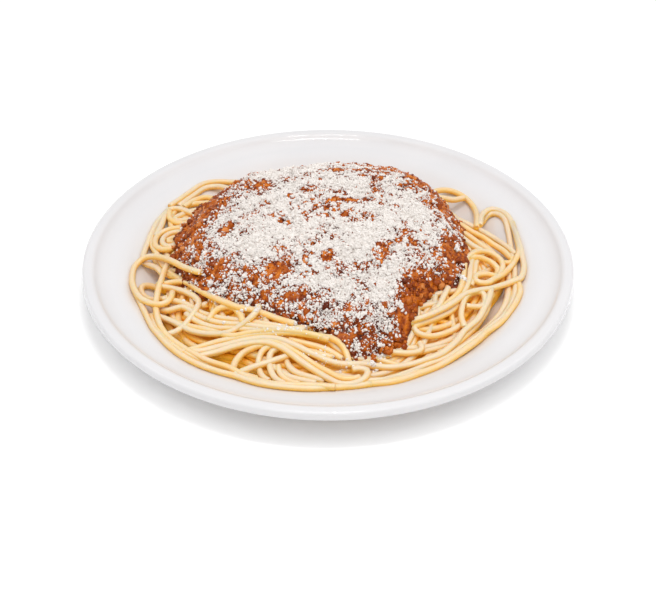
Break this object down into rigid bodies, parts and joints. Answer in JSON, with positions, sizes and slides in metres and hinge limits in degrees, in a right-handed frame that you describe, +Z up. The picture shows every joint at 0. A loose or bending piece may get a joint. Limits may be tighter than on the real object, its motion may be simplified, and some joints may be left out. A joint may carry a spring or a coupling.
{
  "type": "plate of spaghetti bolognese",
  "caption": "Round white dinner plate holding a tangled heap of cooked spaghetti under a mound of meat sauce dusted with grated cheese.",
  "frame": {"origin": "centre of the plate's foot ring, on the table", "axes": "+Z up, -Y towards the diner, +X to the diner's right"},
  "size_m": [0.26, 0.26, 0.0503],
  "materials": {
    "plate": "glossy white glaze",
    "spaghetti": "moist cooked pasta, pale cream yellow",
    "meat_sauce": "moist minced meat in tomato sauce, with creamy white grated cheese"
  },
  "bodies": {
    "root": {"plate": "plate", "spaghetti": "spaghetti", "meat_sauce": "meat_sauce"}
  },
  "joints": []
}
